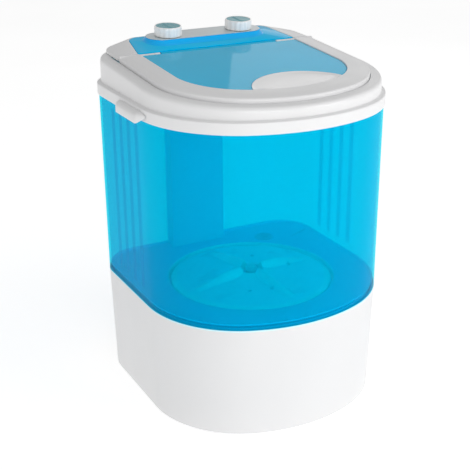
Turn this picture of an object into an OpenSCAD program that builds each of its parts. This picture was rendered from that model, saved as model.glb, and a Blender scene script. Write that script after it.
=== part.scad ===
// Compact single-tub washing machine: a translucent tub between a white base and a white collar,
// with a see-through lid, two clockwork timers and a belt-driven pulsator.
// +Z is up, +Y points to the back, and the origin is under the middle of the body, on the floor.

/* [Body] */
// Width of the tub at the collar
body_w = 360; // [350:1:370]
// Depth of the tub at the collar
body_d = 356; // [350:1:362]
// Radius of the two back corners
corner_r = 60; // [54:1:66]
// Radius of the rounded sides at the front
shoulder_r = 149; // [140:1:155]
// Radius of the front face
nose_r = 231; // [225:1:260]
// Wall of the moulded shells
wall = 3; // [2.5:0.5:3.5]

/* [Heights] */
// Height of the rubber feet under the base
foot_h = 4; // [3:1:6]
// Where the tub starts above the base
tub_z = 168; // [165:1:172]
// Lower edge of the collar
collar_z = 444; // [440:1:448]
// Edge of the collar beside the lid, at the front
rebate_z = 477.5; // [476:0.5:479]
// Top of the lid frame, at the front
deck_z = 485.5; // [485:0.5:487]
// Rise of the deck towards the back, per mm
deck_rise = 0.064; // [0.06:0.002:0.068]

/* [Lid] */
// Gap from the body's side to the lid
lid_inset = 21.4; // [21:0.1:22]
// Gap from the body's side to the window
window_inset = 53.4; // [52:0.2:55]
// Height of the hinge axis
hinge_z = 499; // [498:0.5:500]
// Place of the hinge axis, front to back
hinge_y = 97; // [96:0.5:98]
// Radius of the finger grip's arc
grip_r = 76; // [70:1:80]

/* [Console] */
// Distance from the middle to each knob
knob_x = 58.8; // [56:0.2:60]
// Place of the knobs, front to back
knob_y = 150.5; // [149:0.5:151]
// Height of the raised boss that carries the knobs
boss_h = 7.5; // [6:0.5:9]
// Radius of a knob
knob_r = 20.8; // [19:0.1:21]
// Height of a knob
knob_h = 14.2; // [13:0.2:16]

/* [Drive] */
// Radius of the pulsator
pulsator_r = 120; // [112:1:122]
// Radius of the driven pulley
driven_r = 65; // [60:1:68]
// Radius of the motor pulley
driver_r = 17; // [15:1:19]
// Distance from the pulsator's axis to the motor's axis
motor_y = 108; // [106:1:109]

/* [Hidden] */

$fn = 64;
eps = 0.01;
half_w = body_w / 2;
front_y = -body_d / 2;
back_y = body_d / 2;
deck_angle = atan(deck_rise);

// Slack between moulded parts, and between a shaft and its bush
fit_gap = 0.4;
run_gap = 0.06;

// Colours of the plastics and metals
white = [0.93, 0.93, 0.93];
blue = [0.05, 0.68, 0.90, 0.6];
steel = [0.70, 0.71, 0.73];
dark = [0.12, 0.12, 0.13];
silver = [0.72, 0.75, 0.79];

// ---- Outline of the body, seen from above ----

// The front face is one arc, the sides are straight, and a fillet on each side joins them
nose_y = front_y + nose_r;
fillet_x = half_w - shoulder_r;
fillet_y = nose_y - sqrt(pow(nose_r - shoulder_r, 2) - pow(fillet_x, 2));
fillet_end = atan2(fillet_y - nose_y, fillet_x);
side_steps = 4;
back_steps = 6;
fillet_steps = 9;
nose_steps = 16;
corner_steps = 8;
// Half width of the gap in the collar behind the console
back_gap = 110;

function lerp(a, b, t) = a + (b - a) * t;
function arc(cx, cy, r, from, to, steps) =
    [for (i = [0 : steps]) let (t = lerp(from, to, i / steps)) [cx + r * cos(t), cy + r * sin(t)]];
function line(p, q, steps) = [for (i = [0 : steps - 1]) lerp(p, q, i / steps)];
function mirror_x(points) = [for (i = [len(points) - 1 : -1 : 0]) [-points[i][0], points[i][1]]];

// Right half of the front, from the side at y = cut to just before the middle of the nose
function front_half(inset, cut) = concat(
    line([half_w - inset, cut], [half_w - inset, fillet_y], side_steps),
    line_free(arc(fillet_x, fillet_y, shoulder_r - inset, 0, fillet_end, fillet_steps)),
    arc(0, nose_y, nose_r - inset, fillet_end, -90, nose_steps / 2));
function line_free(points) = [for (i = [0 : len(points) - 2]) points[i]];
function front_path(inset, cut) = let (right = front_half(inset, cut))
    concat(line_free(right), mirror_x(right));

// Back of a plan with straight sides at x = half, its back at y = back and corners of radius r,
// from the left side at y = cut to the right side at y = cut
function rear_path(half, back, r, cut) = let (
    left = concat([[-half, cut]], arc(-half + r, back - r, r, 180, 90, corner_steps)))
    concat(left, mirror_x(left));
function rear_inset(inset, cut) = rear_path(half_w - inset, back_y - inset, max(corner_r - inset, 6), cut);

// Whole outline, as one closed loop
function loop_path(inset) = let (
    cut = back_y - corner_r - 2,
    rear = rear_inset(inset, cut),
    last = corner_steps + 1)
    concat(front_path(inset, cut), [for (i = [1 : last - 1]) rear[i]],
        line(rear[last], rear[last + 1], back_steps), [for (i = [last + 1 : len(rear) - 2]) rear[i]]);

// The outline with a gap in the middle of the back
function open_path(inset) = let (
    cut = back_y - corner_r - 2,
    corner = line_free(arc(half_w - corner_r, back_y - corner_r, corner_r - inset, 90, 0, corner_steps)),
    half = concat([[back_gap, back_y - inset]], corner, line_free(front_half(inset, cut))),
    nose = [0, front_y + inset])
    concat(half, [nose], mirror_x(half));

// ---- Solids swept along an outline ----

// Height of a point: z, plus the deck's rise when tilt is 1
function deck(z, tilt, y) = z + tilt * deck_rise * (y - front_y);
function ring(path, z, tilt) = [for (p = path) [p[0], p[1], deck(z, tilt, p[1])]];

// Skin over rings of points that follow one another round a closed section.
// The path is closed when closed is true, and otherwise its two ends are capped.
module swept(rings, closed) {
    m = len(rings);
    n = len(rings[0]);
    steps = closed ? n : n - 1;
    sides = [for (j = [0 : m - 1]) for (i = [0 : steps - 1]) let (k = (j + 1) % m, h = (i + 1) % n)
        each [[j * n + h, k * n + h, k * n + i], [k * n + i, j * n + i, j * n + h]]];
    caps = closed ? [] : [[for (j = [0 : m - 1]) j * n], [for (j = [m - 1 : -1 : 0]) j * n + n - 1]];
    polyhedron([for (r = rings) each r], concat(sides, caps), convexity = 6);
}

// Round bar along a list of points
function unit(v) = v / norm(v);
function heading(points, i) = unit(points[min(i + 1, len(points) - 1)] - points[max(i - 1, 0)]);
module bar_along(points, r, sides = 8) {
    rings = [for (k = [0 : sides - 1]) [for (i = [0 : len(points) - 1]) let (
        d = heading(points, i),
        u = unit(cross(d, abs(d[0]) < 0.7 ? [1, 0, 0] : [0, 0, 1])),
        v = cross(d, u),
        t = 360 * k / sides)
        points[i] + r * (u * cos(t) + v * sin(t))]];
    swept(rings, false);
}

module tube(outer, inner, h) {
    difference() {
        cylinder(r = outer, h = h);
        translate([0, 0, -1]) cylinder(r = inner, h = h + 2);
    }
}

module slab(inset, h) {
    linear_extrude(h) polygon(loop_path(inset));
}

module stadium(half, r) {
    for (side = [-1, 1]) translate([side * half, 0]) circle(r);
    square([2 * half, 2 * r], center = true);
}

module box_between(low, high) {
    translate(low) cube(high - low);
}

// A pan-head screw whose head rests on z = 0, with its shank pointing down
module screw(head_r, head_h, shank_r, shank_l) {
    cylinder(r1 = head_r, r2 = head_r * 0.7, h = head_h);
    translate([0, 0, -shank_l]) cylinder(r = shank_r, h = shank_l + eps);
}

// ---- Base ----

// The base narrows a little towards the floor
base_foot_inset = 7.7;
base_top_inset = 2.6;
function base_inset(z) = lerp(base_foot_inset, base_top_inset, (z - foot_h) / (tub_z - foot_h));
plate_z = foot_h + 4;
plate_t = 3;

// Service bay in the back of the base, for the drain and the mains lead
bay_x = [64, 114];
bay_z = [22, 118];
bay_depth_y = 142;
spigot = [89, 48];
gland_z = 96;

module base_housing() {
    section = [
        [13.5, foot_h], [base_foot_inset + 3, foot_h], [base_foot_inset + 0.8, foot_h + 1],
        [base_inset(foot_h + 4), foot_h + 4], [base_top_inset, tub_z - 0.8], [base_top_inset + 0.8, tub_z],
        [base_top_inset + wall, tub_z], [base_inset(plate_z) + wall, plate_z], [13.5, plate_z]
    ];
    color(white) difference() {
        swept([for (p = section) ring(loop_path(p[0]), p[1], 0)], true);
        box_between([bay_x[0], bay_depth_y, bay_z[0]], [bay_x[1], back_y + 5, bay_z[1]]);
    }
}

// Feet: two at the back and two closer together at the front
feet = [[-105, -98], [105, -98], [-118, 112], [118, 112]];
foot_r = 14;

module base_plate() {
    vent_l = 44;
    color(white) difference() {
        union() {
            translate([0, 0, plate_z + 0.1]) slab(12.5, plate_t);
            for (f = feet) translate([f[0], f[1], plate_z + 1]) cylinder(r = 7, h = 12);
            translate([-118, 40, plate_z + 1]) cylinder(r = 23, h = 9);
        }
        for (f = feet) translate([f[0], f[1], plate_z - 1]) cylinder(r = 2.3, h = 18);
        for (i = [-2 : 2]) box_between([i * 16 - 3, -130, plate_z - 1], [i * 16 + 3, -130 + vent_l, plate_z + 5]);
        translate([-118, 40, plate_z + plate_t + 0.1]) cylinder(r = 18.3, h = 12);
    }
}

module foot(i) {
    color(dark) translate([feet[i][0], feet[i][1], 0]) difference() {
        union() {
            cylinder(r1 = foot_r - 1, r2 = foot_r, h = 1.5);
            translate([0, 0, 1.5]) cylinder(r = foot_r, h = plate_z - 1.5);
        }
        translate([0, 0, -1]) cylinder(r = 6, h = 4);
        translate([0, 0, -1]) cylinder(r = 2.4, h = 20);
    }
}

module foot_screws() {
    color(steel) for (f = feet) translate([f[0], f[1], 3]) mirror([0, 0, 1]) screw(5, 2, 2.1, 18);
}

module service_panel() {
    lip = 0.5;
    y0 = bay_depth_y + lip;
    color(white) difference() {
        box_between([bay_x[0] + lip, y0, bay_z[0] + lip], [bay_x[1] - lip, 170, bay_z[1] - lip]);
        box_between([bay_x[0] + wall, y0 + wall, bay_z[0] + wall], [bay_x[1] - wall, back_y, bay_z[1] - wall]);
        for (hole = [[spigot[1], 11.3], [gland_z, 6.2]])
            translate([spigot[0], y0 - 1, hole[0]]) rotate([-90, 0, 0]) cylinder(r = hole[1], h = wall + 2);
    }
}

// Drain: a hole in the tub's floor, a pipe down the back corner and a spigot in the service bay
drain = [89, 120];
drain_r = 9;
pipe_r = 11;
floor_z = tub_z + 3;
spigot_end = 170;
shoulder_y = bay_depth_y + wall + 0.8;

module drain_spigot() {
    stub = drain[1];
    color(dark) difference() {
        union() {
            translate([drain[0], stub, spigot[1] - pipe_r]) cylinder(r = pipe_r, h = floor_z - spigot[1] + pipe_r - 0.1);
            translate([drain[0], stub, floor_z - 3.1]) cylinder(r = 17, h = 3);
            translate([drain[0], stub, spigot[1]]) rotate([-90, 0, 0]) cylinder(r = pipe_r, h = spigot_end - stub);
            translate([drain[0], shoulder_y, spigot[1]]) rotate([-90, 0, 0]) cylinder(r = pipe_r + 3.5, h = 2.5);
        }
        translate([drain[0], stub, spigot[1]]) cylinder(r = drain_r - 0.5, h = floor_z);
        translate([drain[0], stub, spigot[1]]) rotate([-90, 0, 0]) cylinder(r = drain_r - 0.5, h = 80);
    }
}

module cord_gland() {
    y0 = bay_depth_y + 0.5;
    color(dark) translate([spigot[0], y0 - 4, gland_z]) rotate([-90, 0, 0]) difference() {
        union() {
            cylinder(r = 6, h = 8);
            translate([0, 0, 4 + wall]) cylinder(r = 9, h = 3);
            translate([0, 0, 4 + wall]) cylinder(r1 = 7.5, r2 = 6, h = 12);
            translate([0, 0, 1]) cylinder(r = 8, h = 2.9);
        }
        translate([0, 0, -1]) cylinder(r = 3.6, h = 24);
    }
}

// ---- Tub ----

dish_r = 124;
dish_z = 160;
hub_hole_r = 20;
tub_top = collar_z + 12;
duct_x = [-60, 30];
duct_y = 150;
wire = [-15, 161];

// A circle with as many points as the outline, each at its outline point's own bearing
// The tub's outline has half the body's points, and its round dish has as many
function tub_path(inset) = let (full = loop_path(inset)) [for (i = [0 : 2 : len(full) - 1]) full[i]];
function dish_ring(r, z) = let (
    count = len(tub_path(0)),
    first = atan2(tub_path(60)[0][1], tub_path(60)[0][0]))
    [for (i = [0 : count - 1]) let (t = first - 360 * i / count) [r * cos(t), r * sin(t), z]];

module tub() {
    shell = [
        [6.2, tub_z - 8], [6.2, tub_z], [base_top_inset, tub_z], [0.6, collar_z - 0.3], [2, collar_z - 0.3],
        [2, tub_top], [2 + wall, tub_top], [base_top_inset + wall, tub_z + 12], [10, tub_z + 6]
    ];
    dish = [
        [dish_r + 1, tub_z + 6], [dish_r, dish_z + 3], [hub_hole_r, dish_z + 3], [hub_hole_r, dish_z],
        [dish_r + 3, dish_z], [dish_r + 4, floor_z]
    ];
    skirt = [[9.2, floor_z], [9.2, tub_z - 8]];
    color(blue) difference() {
        swept(concat(
            [for (p = shell) ring(tub_path(p[0]), p[1], 0)],
            [for (p = dish) dish_ring(p[0], p[1])],
            [for (p = skirt) ring(tub_path(p[0]), p[1], 0)]), true);
        translate([drain[0], drain[1], floor_z - 5]) cylinder(r = drain_r, h = 20);
        translate([wire[0], wire[1], floor_z - 5]) cylinder(r = 5, h = 20);
    }
}

module drain_strainer() {
    color(white) translate([drain[0], drain[1], tub_z + 6.1]) difference() {
        union() {
            cylinder(r1 = 15, r2 = 13, h = 2.5);
            translate([0, 0, -3]) tube(drain_r - 0.3, drain_r - 1.8, 3.1);
        }
        for (t = [0 : 60 : 300]) rotate(t) translate([6, 0, -1]) cylinder(r = 1.7, h = 5);
        translate([0, 0, -1]) cylinder(r = 1.7, h = 5);
    }
}

// Duct up the inside of the tub's back, with the wires from the base to the console.
// Its foot is shallower, to clear the fillet round the tub's floor.
module rear_duct() {
    t = 2.5;
    foot_y = back_y - 12.4;
    y1 = back_y - base_top_inset - wall - 0.8;
    color(blue) difference() {
        union() {
            box_between([duct_x[0], duct_y, tub_z + 6.1], [duct_x[1], foot_y, tub_z + 13]);
            box_between([duct_x[0], duct_y, tub_z + 12.4], [duct_x[1], y1, tub_top]);
        }
        box_between([duct_x[0] + t, duct_y + t, tub_z], [duct_x[1] - t, y1 + 1, tub_top + 1]);
    }
}

module wiring_harness() {
    r = 3;
    top = [wire[0], wire[1], tub_top + 20];
    route = [
        [-118, 40, 74], [-118, 42, 105], [-114, 66, 136], [-98, 104, 151], [-60, 140, 153], [-28, 157, 155],
        [wire[0], wire[1], 166], [wire[0], wire[1], 190], top, [-24, 152, tub_top + 26], [-30, 149, tub_top + 28]
    ];
    color(dark) bar_along(route, r);
}

// ---- Drive ----

shaft_r = 8;
bearing_r = 16;
belt_z = 41;
belt_h = 8;
belt_t = 5.4;
groove = 6;
pulley_h = 14;

module bearing_housing() {
    neck_top = dish_z + 8;
    color(dark) difference() {
        union() {
            translate([0, 0, 60]) cylinder(r = 24, h = dish_z - 60);
            translate([0, 0, dish_z - 6]) cylinder(r = 52, h = 5.9);
            cylinder_at(hub_hole_r - 1, dish_z - 1, neck_top);
        }
        cylinder_at(shaft_r + 1.5, 50, neck_top + 1);
        cylinder_at(bearing_r, 59, 72);
        cylinder_at(bearing_r, dish_z - 14, neck_top + 1);
        for (t = [45 : 90 : 315]) rotate(t) translate([42, 0, dish_z - 8]) cylinder(r = 2.6, h = 10);
    }
}

module cylinder_at(r, z0, z1) {
    translate([0, 0, z0]) cylinder(r = r, h = z1 - z0);
}

// A plain bush of the bearing's size
module bearing(z0) {
    color(steel) translate([0, 0, z0]) tube(bearing_r - 0.05, shaft_r + run_gap, 12);
}

module shaft_seal() {
    color(dark) translate([0, 0, dish_z + 1]) tube(bearing_r - 0.05, shaft_r + run_gap, 6.5);
}

module bearing_screws() {
    color(steel) for (t = [45 : 90 : 315])
        rotate(t) translate([42, 0, dish_z - 6.1]) mirror([0, 0, 1]) screw(4.5, 3, 2.5, 5.5);
}

// The pulsator is a shallow dome with four fins, a hub and six holes
pulsator_z = dish_z + 5.5;
pulsator_top = pulsator_z + 6.5;
fin_turn = 8;
hole_angles = [0, 60, 90, 180, 240, 270];

module pulsator() {
    r = pulsator_r;
    z = pulsator_z;
    section = [
        [shaft_r + 0.02, z + 5], [shaft_r + 0.02, z + 17], [17, z + 17], [22, z + 15], [34, z + 12], [100, z + 8.2],
        [r - 6, z + 7], [r - 1, z + 6.5], [r, z + 5], [r, z], [r - 3, z], [r - 4, z + 4], [34, z + 8], [24, z + 8],
        [24, z + 5]
    ];
    fin = [[12, z + 9], [12, z + 22], [24, z + 24], [40, z + 22], [92, z + 14], [108, z + 9], [108, z + 6]];
    color(white) difference() {
        union() {
            rotate_extrude($fn = 96) polygon(section);
            for (i = [0 : 3]) rotate(fin_turn + 90 * i) rotate([90, 0, 0])
                translate([0, 0, -3.5]) linear_extrude(7) polygon(fin);
        }
        cylinder_at(shaft_r + 0.02, z, z + 17.5);
        cylinder_at(11, z + 17, z + 30);
        for (t = hole_angles) rotate(t) translate([65, 0, z]) cylinder(r = 3.5, h = 30);
    }
}

module pulsator_screw() {
    color(steel) translate([0, 0, pulsator_z + 17]) screw(10, 4, 2.9, 12);
}

module pulsator_shaft() {
    top = pulsator_z + 16.9;
    color(steel) difference() {
        cylinder_at(shaft_r, 26, top);
        cylinder_at(3, top - 15, top + 1);
    }
}

// A grooved pulley centred on the belt's height
module grooved_pulley(r, hub_r, bore_r, web) {
    low = belt_z - pulley_h / 2;
    difference() {
        union() {
            translate([0, 0, low]) tube(r - groove, r - groove - web, pulley_h);
            for (z = [low, low + pulley_h - 2.5]) translate([0, 0, z]) tube(r, r - groove - 1, 2.5);
            cylinder_at(hub_r, low, low + pulley_h);
            cylinder_at(r - groove - 1, belt_z - 2.5, belt_z + 2.5);
        }
        cylinder_at(bore_r, low - 1, low + pulley_h + 1);
    }
}

module driven_pulley() {
    color(dark) difference() {
        grooved_pulley(driven_r, 16, shaft_r + 0.02, 4);
        for (t = [0 : 60 : 300]) rotate(t) translate([35, 0, belt_z - 5]) cylinder(r = 11, h = 10);
    }
}

module pulley_nut() {
    color(steel) translate([0, 0, belt_z - pulley_h / 2 - 6.1]) tube(13, shaft_r + 0.02, 6);
}

motor_z = 58;
motor_r = 48;
rotor_r = 28;
motor_shaft_r = 6;

module motor_place() {
    translate([0, motor_y, 0]) children();
}

module motor_bracket() {
    top = motor_z - 5;
    color(steel) difference() {
        union() {
            box_between([-60, 52, top - 3], [60, 166, top]);
            for (x = [-52, 52]) for (y = [60, 156]) translate([x, y, plate_z + plate_t + 0.2])
                cylinder(r = 6, h = top - plate_z - plate_t - 1);
        }
        motor_place() cylinder_at(24, top - 5, top + 2);
        motor_place() for (t = [45 : 90 : 315]) rotate(t) translate([53, 0, top - 5]) cylinder(r = 2.6, h = 8);
    }
}

module motor_stator() {
    top = motor_z + 88;
    color(steel) motor_place() difference() {
        union() {
            cylinder_at(58, motor_z, motor_z + 4);
            cylinder_at(motor_r, motor_z, top - 10);
            cylinder_at(motor_r - 8, top - 11, top);
        }
        cylinder_at(rotor_r + 0.6, motor_z + 14, top - 24);
        cylinder_at(motor_shaft_r + run_gap, motor_z - 1, top - 10);
        for (t = [45 : 90 : 315]) rotate(t) translate([53, 0, motor_z - 1]) cylinder(r = 2.6, h = 6);
        for (t = [0 : 30 : 330]) rotate(t) translate([38, 0, top - 20]) cylinder(r = 2.2, h = 30);
    }
}

module motor_rotor() {
    color(steel) motor_place() union() {
        cylinder_at(motor_shaft_r, 30, motor_z + 76);
        cylinder_at(rotor_r, motor_z + 17, motor_z + 61);
    }
}

module motor_pulley() {
    color(dark) motor_place() grooved_pulley(driver_r, 10, motor_shaft_r + 0.02, 4);
}

module motor_grommets() {
    color(dark) motor_place() for (t = [45 : 90 : 315])
        rotate(t) translate([53, 0, motor_z - 4.9]) tube(6, 2.7, 4.8);
}

module motor_bolts() {
    color(steel) motor_place() for (t = [45 : 90 : 315]) rotate(t) translate([53, 0, motor_z + 4.1]) {
        cylinder(r = 4.6, h = 3.5, $fn = 6);
        translate([0, 0, -14]) cylinder(r = 2.5, h = 14 + eps);
    }
}

// Outline of a belt round two pulleys, ra at the pulsator's axis and rb at the motor's
function belt_outline(ra, rb) = let (t = asin((driven_r - driver_r) / motor_y))
    concat(arc(0, 0, ra, 180 - t, 360 + t, 60), arc(0, motor_y, rb, t, 180 - t, 30));

module drive_belt() {
    slack = 0.4;
    ra = driven_r - groove + slack;
    rb = driver_r - groove + slack;
    color(dark) translate([0, 0, belt_z - belt_h / 2]) linear_extrude(belt_h) difference() {
        polygon(belt_outline(ra + belt_t, rb + belt_t));
        polygon(belt_outline(ra, rb));
    }
}

module capacitor() {
    color(white) translate([-118, 40, plate_z + plate_t + 0.2]) {
        cylinder(r = 18, h = 56);
        translate([0, 0, 56 - eps]) cylinder(r = 7, h = 4);
    }
}

// ---- Collar ----

// Sections are lists of [inset, z, tilt]: tilt 1 follows the deck's rise, and 0 stays level
function section_rings(section, path) = [for (p = section) ring(path(p[0]), p[1], p[2])];

module top_collar() {
    g = rebate_z;
    c = collar_z;
    section = [
        [1.6, c, 0], [0, c, 0], [-1.2, c + 1.2, 0], [-1.5, c + 3, 0], [-1.5, c + 14, 0], [-0.8, c + 16, 0],
        [1.5, c + 17.2, 0], [3.6, c + 17.8, 0], [4.5, c + 19.2, 0], [4.6, g - 12, 1], [6, g - 7.5, 1],
        [9.5, g - 3.6, 1], [14, g - 1.4, 1], [19.5, g - 0.4, 1], [20.4, g - 1.2, 1], [20.6, g - 3, 1],
        [29, g - 3, 1], [30, g - 4, 1], [30, g - 16, 1], [27.5, g - 16, 1], [27.5, g - 6, 1], [12, g - 6.5, 1],
        [8, g - 10, 1], [7.2, g - 13, 1], [7, c + 19, 0], [1.6, c + 14, 0]
    ];
    color(white) swept(section_rings(section, function (i) open_path(i)), false);
}

rear_cover_half = back_gap - fit_gap;
rear_cover_top = 499.7;
cover_screw_x = [-96, 96];
cover_screw_z = [469, 489];

module rear_cover() {
    color(white) difference() {
        union() {
            box_between([-rear_cover_half, back_y - 5.5, tub_top + 2], [rear_cover_half, back_y - 2.8, rear_cover_top]);
            box_between([-rear_cover_half, back_y - 1.6, collar_z], [rear_cover_half, back_y + 1.5, collar_z + 15]);
            box_between([-rear_cover_half, back_y - 5.5, tub_top + 1], [rear_cover_half, back_y + 1.5, collar_z + 15]);
        }
        for (x = cover_screw_x) for (z = cover_screw_z)
            translate([x, back_y - 7, z]) rotate([-90, 0, 0]) cylinder(r = 1.6, h = 12);
        for (i = [-3 : 3]) box_between([i * 14 - 2, back_y - 7, collar_z + 22], [i * 14 + 2, back_y + 3, collar_z + 44]);
    }
}

// Lifting grips: a lip on each side that stands out from the collar and hangs below it
grip_y = 3;
grip_half = 48;
grip_out = 9;
grip_drop = 3.5;

module side_grip(side) {
    x0 = half_w + 1.6;
    stations = [for (t = [-1, -0.95, -0.9, -0.84, -0.78, -0.7, -0.6, 0, 0.6, 0.7, 0.78, 0.84, 0.9, 0.95, 1]) t];
    function swell(s) = let (t = min(1, (1 - abs(s)) / 0.34)) t * t * (3 - 2 * t);
    function grip_ring(out, z, drop) = [for (s = stations)
        [side * (x0 + out * (0.12 + 0.88 * swell(s))), grip_y + s * side * grip_half, z - drop * swell(s)]];
    o = grip_out;
    c = collar_z;
    rings = [
        grip_ring(0, c + 13, 0), grip_ring(o * 0.45, c + 12, 0), grip_ring(o * 0.85, c + 8.5, 0),
        grip_ring(o, c + 4, 0), grip_ring(o, c + 2, grip_drop), grip_ring(o - 1.5, c + 0.5, grip_drop),
        grip_ring(o - 2.8, c + 2, grip_drop), grip_ring(o - 3, c + 4, 0), grip_ring(o * 0.4, c + 8, 0),
        grip_ring(0, c + 9, 0)
    ];
    color(white) swept([for (i = [len(rings) - 1 : -1 : 0]) rings[i]], false);
}

// ---- Console ----

// The console's top lies in the deck's plane; its own frame has z = 0 on top of the boss
boss_z = deck(deck_z, 1, knob_y) + boss_h;
boss_half = 71;
boss_r = 23.3;
cheek_y = hinge_y + 4.6;
panel_half = 127.8;
panel_back = 174.4;
panel_r = 15;
panel_rise = 0.11;
panel_taper = 0.0015;

module console_frame() {
    translate([0, knob_y, boss_z]) rotate([deck_angle, 0, 0]) children();
}

// The blue panel starts level with the deck and climbs a little faster than it
function panel_level(y) = deck(deck_z, 1, cheek_y) + panel_rise * (y - cheek_y);

// The panel also narrows towards the back
function narrowed(path, y0) = [for (p = path) [p[0] * (1 - panel_taper * (p[1] - y0)), p[1]]];

// White surround of the panel. Beside the lid it is flat on top, and at the back it is a plain slope.
module console_cover() {
    side = half_w - lid_inset;
    back = 177;
    outer = rear_path(side, back, 37, cheek_y);
    inner = narrowed(rear_path(panel_half + 0.6, 174.9, panel_r + 0.3, cheek_y), cheek_y);
    // Share of the way up from the collar to the panel, as [beside the lid, at the back]
    function level(y, low, high) = let (t = min(1, (y - cheek_y) / (back - cheek_y)))
        lerp(deck(rebate_z + 0.3, 1, y), panel_level(y), lerp(low, high, t));
    function row(path, low, high) = [for (p = path) [p[0], p[1], level(p[1], low, high)]];
    function between(t) = [for (i = [0 : len(outer) - 1]) lerp(outer[i], inner[i], t)];
    top = [
        [0, 0, 0], [0.01, 0.45, 0.2], [0.05, 0.66, 0.26], [0.17, 0.8, 0.36], [0.53, 0.97, 0.66], [0.95, 1.03, 1.02],
        [1, 0.94, 0.94], [1, 0.6, 0.6]
    ];
    // [half width, back, corner radius, share beside the lid, share at the back]
    under = [[side - 12, 174.8, 31, 0.54, 0.2], [side - 4, 174.7, 34.4, 0.36, 0.08], [side - 3, 174.6, 35, 0, 0]];
    color(white) swept(concat(
        [for (t = top) row(between(t[0]), t[1], t[2])],
        [for (u = under) row(rear_path(u[0], u[1], u[2], cheek_y), u[3], u[4])]), false);
}

tray_z = 462;
// Screws of each timer, from its shaft
timer_screw_x = [-29, 29];
tray_half = 108.5;

module console_tray() {
    t = 2.4;
    top = 496;
    y0 = cheek_y + 1;
    y1 = back_y - 6;
    color(white) difference() {
        union() {
            box_between([-tray_half, y0, tray_z], [tray_half, y1, top]);
            box_between([-127, y0, tray_z + 18], [127, y0 + 4, top + 2]);
        }
        box_between([-tray_half + t, y0 + 4, tray_z + t], [tray_half - t, y1 - t, top + 5]);
        box_between([-27, 145, tray_z - 1], [-3, y1 + 1, tray_z + 12]);
        for (x = [-112, 112]) for (z = [484, 491])
            translate([x, y0 - 1, z]) rotate([-90, 0, 0]) cylinder(r = 1.6, h = 8);
        for (x = cover_screw_x) for (z = cover_screw_z)
            translate([x, y1 - 4, z]) rotate([-90, 0, 0]) cylinder(r = 1.6, h = 6);
    }
}

module control_panel() {
    t = 2.5;
    depth = boss_h + 1.5;
    color(blue) difference() {
        union() {
            difference() {
                union() {
                    translate([0, cheek_y, panel_level(cheek_y)]) rotate([atan(panel_rise), 0, 0])
                        translate([0, 0, -t]) linear_extrude(t)
                            polygon(narrowed(rear_path(panel_half, panel_back - cheek_y, panel_r, 0.2), 0));
                    console_frame() translate([0, 0, -depth]) linear_extrude(depth) stadium(boss_half, boss_r);
                }
                console_frame() translate([0, 0, -depth - 4]) linear_extrude(depth + 2.5)
                    stadium(boss_half, boss_r - 2.4);
            }
            console_frame() for (side = [-1, 1]) for (x = timer_screw_x)
                translate([side * knob_x + x, 0, -12.9]) cylinder(r = 3.6, h = 11.5);
        }
        console_frame() {
            for (x = [-knob_x, knob_x]) translate([x, 0, -5]) cylinder(r = 5, h = 8);
            for (side = [-1, 1]) for (x = timer_screw_x)
                translate([side * knob_x + x, 0, -14]) cylinder(r = 1.6, h = 8);
        }
    }
}

module panel_plate() {
    color(silver) console_frame() translate([0, 0, 0.02]) linear_extrude(0.8) difference() {
        stadium(boss_half, boss_r - 1);
        for (x = [-knob_x, knob_x]) translate([x, 0]) circle(5);
    }
}

module timer_place(side) {
    console_frame() translate([side * knob_x, 0, 0]) children();
}

module timer_body(side) {
    color(dark) timer_place(side) difference() {
        union() {
            translate([-22, -18, -40]) cube([44, 32, 27]);
            translate([0, 0, -13 - eps]) cylinder(r = 10, h = 3);
            for (x = [-28, 28]) translate([x - 6, -6, -15]) cube([12, 12, 2]);
        }
        translate([0, 0, -30]) cylinder(r = 3 + run_gap, h = 32);
        for (x = timer_screw_x) translate([x, 0, -16]) cylinder(r = 1.6, h = 4);
    }
}

module timer_shaft(side) {
    color(steel) timer_place(side) translate([0, 0, -29]) cylinder(r = 3, h = knob_h + 25.2);
}

// Knob: a cup with broad soft flutes, a socket for the shaft and a shallow well on top
module knob(side) {
    flutes = 16;
    color(white) timer_place(side) translate([0, 0, 1.5]) difference() {
        union() {
            linear_extrude(knob_h - 1) difference() {
                circle(knob_r);
                for (i = [0 : flutes - 1]) rotate(360 * (i + 0.5) / flutes) translate([knob_r + 2.6, 0]) circle(3.4);
            }
            cylinder(r = knob_r - 1.1, h = knob_h);
        }
        translate([0, 0, -1]) tube(knob_r - 3.2, 6, knob_h - 4);
        translate([0, 0, -1]) cylinder(r = 3.02, h = knob_h - 4);
        translate([0, 0, knob_h - 1.2]) cylinder(r = knob_r - 2.6, h = 3);
    }
}

// Disc set in the knob's well, with a raised pointer bar
module knob_insert(side) {
    r = knob_r - 2.8;
    color(silver) timer_place(side) translate([0, 0, 1.5 + knob_h - 1.1]) {
        cylinder(r = r, h = 0.8);
        translate([-2, -r + 2, 0.8 - eps]) cube([4, 2 * r - 4, 0.9]);
    }
}

// Identical self-tapping screws: timers to the panel, brackets to the tray, and the rear cover
module console_screws() {
    color(steel) {
        for (side = [-1, 1]) timer_place(side) for (x = timer_screw_x)
            translate([x, 0, -15.1]) mirror([0, 0, 1]) screw(2.8, 1.8, 1.5, 4);
        for (x = cover_screw_x) for (z = cover_screw_z)
            translate([x, back_y - 2.7, z]) rotate([-90, 0, 0]) screw(2.8, 1.7, 1.5, 5);
        for (x = [-112, 112]) for (z = [484, 491])
            translate([x, cheek_y - 1.6, z]) rotate([90, 0, 0]) screw(2.8, 1.5, 1.5, 5);
    }
}

// ---- Hinges ----

pin_r = 1.5;
knuckle_r = 3.5;
pin_x = [95.5, 128];
leaf_x = [104.6, 119.4];

module along_x(x0, x1, r) {
    translate([x0, hinge_y, hinge_z]) rotate([0, 90, 0]) cylinder(r = r, h = x1 - x0);
}

module sided(side) {
    if (side < 0) mirror([1, 0, 0]) children();
    else children();
}

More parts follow.
